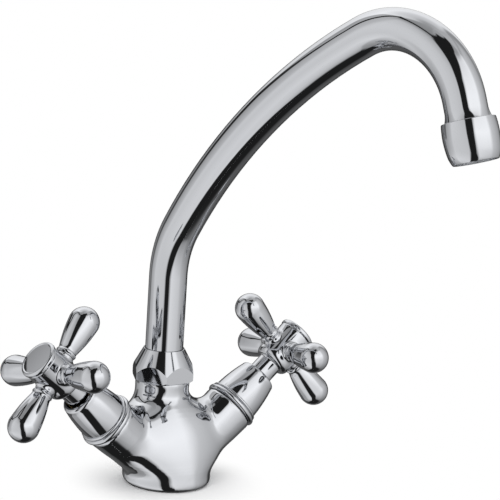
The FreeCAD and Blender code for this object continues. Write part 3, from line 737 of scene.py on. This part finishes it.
    def flare(self, bm: bmesh.types.BMesh, ring: list[bmesh.types.BMEdge]) -> list[bmesh.types.BMEdge]:
        """Flares the tube's end and adds the collar inside the aerator.

        Args:
            bm: The tube's mesh.
            ring: Last ring of the tube's skin.

        Returns:
            The collar's last ring.
        """
        direction = self.bend_hubs()[2]
        radius = self.tube_r
        for k in range(1, self.flare_steps + 1):
            share = k / self.flare_steps
            wanted = self.tube_r + (self.flare_r - self.tube_r) * share ** 2
            step = direction * self.flare_length / self.flare_steps
            ring = self.extrude(bm, ring, step, wanted / radius)
            radius = wanted
        ring = self.extrude(bm, ring, Vector(), (self.aerator_top_r - self.wall) / radius)
        return self.extrude(bm, ring, direction * self.collar_end())

    def sleeve(self) -> bmesh.types.BMesh:
        """Turns the aerator's swelling sleeve with its open foot.

        Returns:
            The sleeve's mesh.
        """
        wall_r, length = self.aerator_top_r - self.wall, self.aerator_length
        bore_r, seat = self.mouth_r + self.edge, length / 2 + self.cartridge_flange
        section = HalfSection().line((wall_r, 0), (self.aerator_top_r - self.edge, 0))
        bend = self.edge * (1 - DIAGONAL)
        section.arc((self.aerator_top_r - bend, bend), (self.aerator_top_r, self.edge))
        section.curve((self.bulge_r, self.bulge_drop), (self.taper_r, self.taper_drop),
                      (self.foot_r, length))
        section.line((self.mouth_r, length), (self.mouth_r, length - self.lip), (bore_r, length - self.lip),
                     (bore_r, seat), (wall_r, seat))
        return turned(section, self.nozzle_place(), closed=True)


# ------------------------------------ branches and handles

@dataclass
class Branch:
    """One sloping branch with its levels, measured out along its axis."""

    side: Side
    angle: float = math.radians(40.7)
    start_z: float = 0.00325
    length: float = 0.045
    bonnet_length: float = 0.0219
    hub_rise: float = 0.0083
    hub_height: float = 0.0191
    arm_rise: float = 0.0174

    def place(self) -> Matrix:
        """Frame of the branch: local +Z runs out along its axis and local +X points up and inwards.

        Returns:
            The frame.
        """
        sign = self.side.value
        axis = Vector((sign * math.cos(self.angle), 0, math.sin(self.angle)))
        up = Vector((-sign * math.sin(self.angle), 0, math.cos(self.angle)))
        turn = Matrix((up, axis.cross(up), axis)).transposed().to_4x4()
        return Matrix.Translation((0, 0, self.start_z)) @ turn

    @property
    def mouth(self) -> float:
        """Level of the bonnet's mouth."""
        return self.length + self.bonnet_length

    @property
    def arm_level(self) -> float:
        """Level of the arms' axes."""
        return self.mouth + self.arm_rise

    @property
    def hub_top(self) -> float:
        """Level of the hub's top, under the cap."""
        return self.mouth + self.hub_rise + self.hub_height


@dataclass
class Bonnet:
    """Spun shroud over a headwork, with a double bead at its foot."""

    branch: Branch
    foot_r: float = 0.0119
    mid_r: float = 0.0111
    mouth_r: float = 0.0094
    shoulder_r: float = 0.0016
    wall: float = 0.0013
    lip: float = 0.0005
    bead_r: float = 0.0136
    bead_width: float = 0.0027
    second_bead_r: float = 0.0128
    second_bead_width: float = 0.0015
    seat_r: float = 0.01135
    seat_length: float = 0.003
    side_step: float = math.radians(1)
    shoulder_step: float = math.radians(6)

    def build(self) -> None:
        """Turns the bonnet and puts it on its branch."""
        foot, mouth = self.branch.length, self.branch.mouth
        bead_top = foot + self.bead_width
        second_top = bead_top + self.second_bead_width
        shoulder = mouth - self.shoulder_r
        bead_in = self.bead_r - self.bead_width / 2
        second_in = self.second_bead_r - self.second_bead_width / 2
        middle = (second_top + shoulder) / 2
        bend = self.shoulder_r * (1 - DIAGONAL)
        inner = self.mouth_r - self.shoulder_r - self.lip
        section = HalfSection().line((self.seat_r, foot), (bead_in, foot))
        section.arc((self.bead_r, foot + self.bead_width / 2), (bead_in, bead_top))
        section.line((second_in, bead_top))
        section.arc((self.second_bead_r, bead_top + self.second_bead_width / 2), (second_in, second_top))
        section.line((self.foot_r, second_top))
        section.arc((self.mid_r, middle), (self.mouth_r, shoulder), self.side_step)
        section.arc((self.mouth_r - bend, mouth - bend), (self.mouth_r - self.shoulder_r, mouth),
                    self.shoulder_step)
        section.line((inner, mouth), (inner, mouth - self.wall),
                     (self.mouth_r - self.wall, shoulder - self.wall),
                     (self.mid_r - self.wall, middle), (self.seat_r, foot + self.seat_length))
        stand_for(self.branch.side.node("bonnet"), turned(section, self.branch.place(), closed=True))


@dataclass
class CrossHandle:
    """Cross handle: hub, four club-shaped arms and the index cap."""

    branch: Branch
    turn: float
    hub_voxel: float = 2.6e-4
    hub_rounds: int = 12
    arm_count: int = 4
    arm_steps: int = 72
    side_step: float = math.radians(1.5)
    boss_r: float = 0.0045
    boss_reach: float = 0.01
    stub_r: float = 0.00295
    stub_reach: float = 0.0062
    neck_length: float = 0.0003
    neck_step: float = 5e-5
    bead: float = 0.002
    bead_r: float = 0.0049
    root_r: float = 0.0045
    settle: float = 0.0016
    settle_slope: float = 0.2
    swell: float = 0.00035
    reach: float = 0.0284
    tip_r: float = 0.0073
    cap_r: float = 0.0093
    cap_band: float = 0.0019
    cap_crest_r: float = 0.0081
    cap_face_r: float = 0.0076
    cap_inset: float = 0.0003
    cap_dome: float = 0.00045
    cap_edge: float = 0.0005
    cap_stem: float = 0.0014
    cap_stem_r: float = 0.00555
    cap_stem_wall: float = 0.001
    dome_step: float = math.radians(0.5)

    def build(self) -> None:
        """Makes the hub, the arms and the cap."""
        side = self.branch.side
        hub = side.node("handle_hub")
        stand_for(hub, smoothed_copy(hub, self.hub_voxel, self.hub_rounds))
        stand_for(side.node("handle_arms"), self.arms())
        stand_for(side.node("index_cap"), self.cap())

    def arms(self) -> bmesh.types.BMesh:
        """Turns one arm for each socket of the hub.

        Returns:
            The mesh of all the arms.
        """
        made = []
        for k in range(self.arm_count):
            angle = self.turn + math.tau / self.arm_count * k
            lie = Matrix.Rotation(angle, 4, "Z") @ Matrix.Rotation(math.pi / 2, 4, "Y")
            place = self.branch.place() @ Matrix.Translation((0, 0, self.branch.arm_level)) @ lie
            made.append(turned(self.arm_section(), place, closed=False, steps=self.arm_steps))
        return joined(made)

    def arm_section(self) -> HalfSection:
        """Draws half an arm: stub, short neck, bead, swelling taper and ball end.

        Returns:
            The half section.
        """
        neck_r = self.boss_r - self.neck_step
        bead_s = self.boss_reach + self.neck_length
        root_s = bead_s + self.bead
        slope = math.asin((self.tip_r - self.root_r) / (self.reach - root_s))
        tangent = (self.tip_r * math.cos(slope), self.reach - self.tip_r * math.sin(slope))
        swell = ((self.root_r + tangent[0]) / 2 + self.swell, (root_s + tangent[1]) / 2)
        half = self.tip_r * DIAGONAL
        section = HalfSection().line(
            (0, self.stub_reach), (self.stub_r, self.stub_reach), (self.stub_r, self.boss_reach),
            (neck_r, self.boss_reach), (neck_r, bead_s))
        section.curve((self.bead_r, bead_s + self.bead / 2), (self.root_r, root_s),
                      (self.root_r + self.settle_slope * self.settle, root_s + self.settle))
        section.arc(swell, tangent, self.side_step)
        return section.arc((half, self.reach + half), (0, self.reach + self.tip_r))

    def cap(self) -> bmesh.types.BMesh:
        """Turns the cap: stem, round shoulder and the shallow dome set in it.

        Returns:
            The cap's mesh.
        """
        low = self.branch.hub_top
        crest = low + self.cap_band + self.cap_edge
        seat = crest - self.cap_inset
        top = low + self.cap_band + self.cap_dome
        inner = self.cap_stem_r - self.cap_stem_wall
        rise = top - seat
        ball_r = (self.cap_face_r ** 2 + rise ** 2) / (2 * rise)
        half = self.cap_face_r / 2
        on_dome = top - ball_r + math.sqrt(ball_r ** 2 - half ** 2)
        shoulder = self.cap_r - self.cap_crest_r
        bend = shoulder * (1 - DIAGONAL)
        section = HalfSection().line(
            (0, low), (inner, low), (inner, low - self.cap_stem), (self.cap_stem_r, low - self.cap_stem),
            (self.cap_stem_r, low), (self.cap_r - self.cap_edge, low), (self.cap_r, low + self.cap_edge),
            (self.cap_r, crest - shoulder))
        section.arc((self.cap_r - bend, crest - bend), (self.cap_crest_r, crest))
        section.line((self.cap_face_r, seat))
        section.arc((half, on_dome), (0, top), self.dome_step)
        return turned(section, self.branch.place(), closed=False)


# ------------------------------------ nodes that keep their own mesh

class InnerPieces:
    """Nodes whose own mesh is shown, each in the finish of its slot."""

    def build(self) -> None:
        """Gives every CAD node the material of its slot."""
        for name, node in frame["nodes"].items():
            material = FINISHES[slot_of_node(name)].material()
            node.data.materials.clear()
            node.data.materials.append(material)
            log.info("%s has the finish %s", name, material.name)


# ------------------------------------ studio

@dataclass(frozen=True)
class Row:
    """Level of a tent panel: its elevation, the azimuths of its two edges and the light at each edge.

    Angles are in degrees; azimuth 0 lies along +Y and 90 along +X.
    """

    elevation: float
    left: float
    right: float
    left_light: float
    right_light: float

    def towards(self, other: "Row", share: float) -> "Row":
        """Row part of the way from this one to another."""
        mine, theirs = astuple(self), astuple(other)
        return Row(*(a + (b - a) * share for a, b in zip(mine, theirs)))


@dataclass(frozen=True)
class TentPanel:
    """Panel of the light tent, seen only in reflections: its edges and its light run through rows."""

    name: str
    distance: float
    soft_side: float
    soft_end: float
    rows: tuple[Row, ...]
    across: int = 30
    upwards: int = 48

    def build(self) -> bpy.types.Object:
        """Makes the panel.

        Returns:
            The panel's object.
        """
        bm = bmesh.new()
        bm.loops.layers.uv.new("UVMap")
        bmesh.ops.create_grid(bm, x_segments=self.across, y_segments=self.upwards, size=1.0, calc_uvs=True)
        light = bm.verts.layers.float.new("light")
        for vert in bm.verts:
            row = self.row_at((vert.co.y + 1) / 2)
            u = (vert.co.x + 1) / 2
            vert[light] = row.left_light + u * (row.right_light - row.left_light)
            vert.co = self.on_tent(row, u)
        panel = add_object("tent_" + self.name, bm, self.material())
        for ray in Ray:
            setattr(panel, ray.value, ray in (Ray.GLOSSY, Ray.TRANSMISSION))
        return panel

    def row_at(self, v: float) -> Row:
        """Works out the row at a height of the panel.

        Args:
            v: Share of the way up it.

        Returns:
            The row.
        """
        lowest, highest = self.rows[0].elevation, self.rows[-1].elevation
        elevation = lowest + v * (highest - lowest)
        k = max(i for i in range(len(self.rows) - 1) if self.rows[i].elevation <= elevation)
        below, above = self.rows[k], self.rows[k + 1]
        return below.towards(above, (elevation - below.elevation) / (above.elevation - below.elevation))

    def on_tent(self, row: Row, u: float) -> Vector:
        """Works out a point of the panel.

        Args:
            row: The row that it lies on.
            u: Share of the way from the row's left edge to its right.

        Returns:
            The point.
        """
        azimuth, rise = math.radians(row.left + u * (row.right - row.left)), math.radians(row.elevation)
        flat = math.cos(rise)
        return self.distance * Vector((math.sin(azimuth) * flat, math.cos(azimuth) * flat, math.sin(rise)))

    def material(self) -> bpy.types.Material:
        """Makes the panel's light, which fades out at its edges.

        Returns:
            The material.
        """
        made = bpy.data.materials.new("tent_" + self.name)
        nodes = Nodes(made)
        split = nodes.add("SeparateXYZ")
        nodes.join(nodes.add("UVMap", uv_map="UVMap").outputs["UV"], split.inputs["Vector"])
        inside = nodes.maths("MULTIPLY", self.faded(nodes, split.outputs["X"], self.soft_side),
                             self.faded(nodes, split.outputs["Y"], self.soft_end))
        light = nodes.add("Emission")
        nodes.join(nodes.add("Attribute", attribute_name="light").outputs["Fac"], light.inputs["Strength"])
        clear = nodes.add("BsdfTransparent")
        nodes.show(nodes.feed("MixShader", inside, clear.outputs["BSDF"], light.outputs["Emission"]))
        return made

    def faded(self, nodes: Nodes, along: bpy.types.NodeSocket, soft: float) -> bpy.types.NodeSocket:
        """Fades a value in and out at both ends of the panel.

        Args:
            nodes: The material's nodes.
            along: Share of the way over the panel.
            soft: Share of it that fades at each end.

        Returns:
            1 inside the panel, 0 at its edge.
        """
        rise = nodes.ramp(along, 0, soft, 0, 1, smooth=True)
        fall = nodes.ramp(along, 1 - soft, 1, 1, 0, smooth=True)
        return nodes.maths("MULTIPLY", rise, fall)


# each panel: name, distance, soft share at the sides and at the ends, and rows from the lowest up
PANELS = (
    TentPanel("shell", 3.6, 0.001, 0.001, (
        Row(-90, -180, 180, 0.02, 0.02), Row(-64, -180, 180, 0.02, 0.02), Row(-50, -180, 180, 0.1, 0.1),
        Row(-20, -180, 180, 0.2, 0.2), Row(30, -180, 180, 0.4, 0.4), Row(90, -180, 180, 0.6, 0.6)),
        across=90, upwards=60),
    TentPanel("low_back", 3.5, 0.2, 0.12, (
        Row(-66, -14, 96, 0.1, 0.05), Row(-40, -14, 96, 0.14, 0.16), Row(-22, -4, 92, 0.08, 0.08),
        Row(-10, 0, 84, 0.04, 0.04), Row(14, 0, 80, 0.04, 0.04))),
    TentPanel("roof", 3.5, 0.06, 0.12, (
        Row(58, -115, 150, 0.35, 0.8), Row(90, -115, 150, 0.5, 0.7)),
        across=60, upwards=16),
    TentPanel("back", 3.45, 0.12, 0.16, (
        Row(8, -24, 78, 0.9, 0.9), Row(30, -24, 76, 1.3, 1.15), Row(50, -24, 76, 1.6, 1.25),
        Row(62, -50, 90, 1.2, 1.0), Row(84, -60, 110, 0.8, 0.7))),
    TentPanel("left_fade", 3.4, 0.1, 0.08, (
        Row(-82, -84, -18, 0.5, 0.35), Row(-64, -84, -12, 0.6, 0.4), Row(-45, -80, -14, 1.0, 0.5),
        Row(-30, -80, -6, 1.2, 0.8), Row(-18, -80, -2, 1.1, 0.4), Row(0, -80, 2, 1.1, 0.18),
        Row(20, -80, -6, 1.1, 0.35), Row(40, -80, -10, 0.95, 0.6), Row(58, -80, -20, 0.6, 0.8))),
    TentPanel("left_light", 3.35, 0.14, 0.06, (
        Row(-82, -124, -60, 0.6, 0.4), Row(-62, -138, -68, 1.2, 0.8), Row(-40, -137, -52, 1.05, 1.2),
        Row(-15, -136, -52, 0.95, 1.02), Row(10, -133, -52, 0.88, 1.1), Row(25, -127, -52, 0.85, 1.1),
        Row(45, -118, -52, 0.62, 1.0), Row(57, -104, -50, 0.5, 0.6))),
    TentPanel("right_fade", 3.4, 0.16, 0.1, (
        Row(-62, 84, 180, 0.08, 0.5), Row(-40, 74, 180, 0.18, 0.8), Row(-20, 70, 180, 0.28, 1.1),
        Row(0, 72, 180, 0.4, 1.25), Row(25, 80, 180, 0.5, 1.5), Row(62, 84, 180, 0.7, 1.2))),
    TentPanel("right_light", 3.35, 0.2, 0.08, (
        Row(-60, 130, 194, 0.4, 0.3), Row(-42, 130, 198, 0.62, 0.7), Row(-20, 130, 204, 0.8, 1.25),
        Row(0, 130, 212, 1.1, 1.3), Row(22, 130, 218, 1.6, 1.6), Row(40, 130, 214, 1.5, 1.4),
        Row(64, 130, 206, 1.4, 0.9))),
    TentPanel("left_flag", 3.1, 0.16, 0.05, (
        Row(-14, -30, -10, 0.3, 0.3), Row(2, -29, -11, 0.12, 0.12), Row(10, -26, -8, 0.04, 0.04),
        Row(17, -24, 0, 0.02, 0.02), Row(21, -38, -8, 0.06, 0.04), Row(25, -40, -31, 0.02, 0.02),
        Row(60, -42, -33, 0.02, 0.02))),
    TentPanel("top_flag", 3.1, 0.05, 0.25, (
        Row(56, -106, -34, 0.03, 0.03), Row(63, -108, -34, 0.03, 0.03))),
    TentPanel("camera_slit", 3.0, 0.12, 0.02, (
        Row(-68, -188, -130, 0.02, 0.02), Row(-45, -174, -130, 0.02, 0.02),
        Row(-25, -166, -131, 0.02, 0.02), Row(-12, -156, -131, 0.02, 0.02),
        Row(15, -153, -121, 0.02, 0.02), Row(36, -152, -116, 0.02, 0.02), Row(50, -168, -98, 0.02, 0.02),
        Row(62, -178, -96, 0.02, 0.02), Row(72, -216, -112, 0.02, 0.02), Row(80, -220, -120, 0.02, 0.02)),
        across=24, upwards=75),
)


@dataclass
class Studio:
    """Pale floor, white surroundings, light tent, one soft lamp and the camera."""

    floor_size: float = 30.0
    floor_colour: Colour = (0.93, 0.93, 0.93)
    floor_roughness: float = 0.8
    shadow_reach: float = 0.02
    white_reach: float = 0.05
    world_diffuse: float = 0.92
    lamp_size: float = 1.2
    lamp_power: float = 9.0
    lamp_place: tuple[float, float, float] = (-0.9, -0.7, 1.6)
    azimuth: float = math.radians(36.109)
    elevation: float = math.radians(10.477)
    roll: float = math.radians(3.671)
    distance: float = 0.9
    aim_across: float = 0.032862
    aim_z: float = 0.11366
    lens: float = 139.47
    sensor: float = 36.0
    clip: tuple[float, float] = (0.01, 20.0)

    def build(self) -> None:
        """Makes the floor, the world, the tent, the lamp and the camera."""
        self.floor()
        self.world()
        for panel in PANELS:
            panel.build()
        self.lamp()
        self.camera()
        log.info("studio with %d tent panels", len(PANELS))

    def floor(self) -> bpy.types.Object:
        """Makes the floor, which isn't seen in the chrome.

        It is pale and keeps the shadow round the tap's foot, and farther out it is seen as plain white.

        Returns:
            The floor.
        """
        bm = bmesh.new()
        bmesh.ops.create_grid(bm, x_segments=1, y_segments=1, size=self.floor_size / 2)
        material = bpy.data.materials.new("pale_floor")
        nodes = Nodes(material)
        pale = nodes.add("BsdfPrincipled", Base_Color=(*self.floor_colour, 1),
                         Roughness=self.floor_roughness)
        white = nodes.add("Emission", Color=WHITE, Strength=1.0)
        distance = nodes.add("VectorMath", operation="LENGTH")
        nodes.join(nodes.add("TexCoord").outputs["Object"], distance.inputs[0])
        far = nodes.ramp(distance.outputs["Value"], self.shadow_reach, self.white_reach, 0, 1, smooth=True)
        share = nodes.maths("MULTIPLY", far, nodes.looked_at())
        nodes.show(nodes.feed("MixShader", share, pale.outputs["BSDF"], white.outputs["Emission"]))
        floor = add_object("floor", bm, material)
        floor.visible_glossy = False
        return floor

    def world(self) -> None:
        """Makes the white surroundings: plain white where they are seen, a little less as light."""
        world = bpy.data.worlds.new("studio")
        nodes = Nodes(world)
        white = nodes.add("Background", Color=WHITE)
        nodes.join(nodes.ramp(nodes.looked_at(), 0, 1, self.world_diffuse, 1.0), white.inputs["Strength"])
        nodes.show(white.outputs["Background"], "OutputWorld")
        bpy.context.scene.world = world

    def lamp(self) -> None:
        """Adds the soft lamp that shapes the shadow."""
        data = bpy.data.lights.new("soft_lamp", "AREA")
        data.size = self.lamp_size
        data.energy = self.lamp_power
        lamp = bpy.data.objects.new("soft_lamp", data)
        lamp.location = self.lamp_place
        lamp.rotation_euler = (-Vector(self.lamp_place)).to_track_quat("-Z", "Y").to_euler()
        lamp.visible_glossy = False
        bpy.context.scene.collection.objects.link(lamp)

    def camera(self) -> None:
        """Adds the camera where the photograph was taken from."""
        data = bpy.data.cameras.new("camera")
        data.lens, data.sensor_width = self.lens, self.sensor
        data.clip_start, data.clip_end = self.clip
        back = Vector((-math.sin(self.azimuth) * math.cos(self.elevation),
                       -math.cos(self.azimuth) * math.cos(self.elevation), math.sin(self.elevation)))
        level = Vector((math.cos(self.azimuth), -math.sin(self.azimuth), 0))
        upright = back.cross(level)
        right = level * math.cos(self.roll) + upright * math.sin(self.roll)
        up = upright * math.cos(self.roll) - level * math.sin(self.roll)
        place = level * self.aim_across + Vector((0, 0, self.aim_z)) + back * self.distance
        camera = bpy.data.objects.new("camera", data)
        camera.matrix_world = Matrix.Translation(place) @ Matrix((right, up, back)).transposed().to_4x4()
        bpy.context.scene.collection.objects.link(camera)
        bpy.context.scene.camera = camera


# ------------------------------------ assembly

@dataclass
class MixerTap:
    """The whole tap."""

    left_turn: float = math.radians(12.7)
    right_turn: float = math.radians(-7.3)

    def build(self) -> None:
        """Builds every sub-assembly in order."""
        InnerPieces().build()
        BodyCasting().build()
        neck = Neck()
        SpoutNut(neck).build()
        Spout(neck).build()
        for side, turn in ((Side.LEFT, self.left_turn), (Side.RIGHT, self.right_turn)):
            branch = Branch(side)
            Bonnet(branch).build()
            CrossHandle(branch, turn).build()


def main() -> None:
    """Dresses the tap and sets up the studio."""
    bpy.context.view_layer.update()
    MixerTap().build()
    Studio().build()
    bpy.context.scene.view_settings.view_transform = "Standard"


if __name__ == "__main__":
    main()
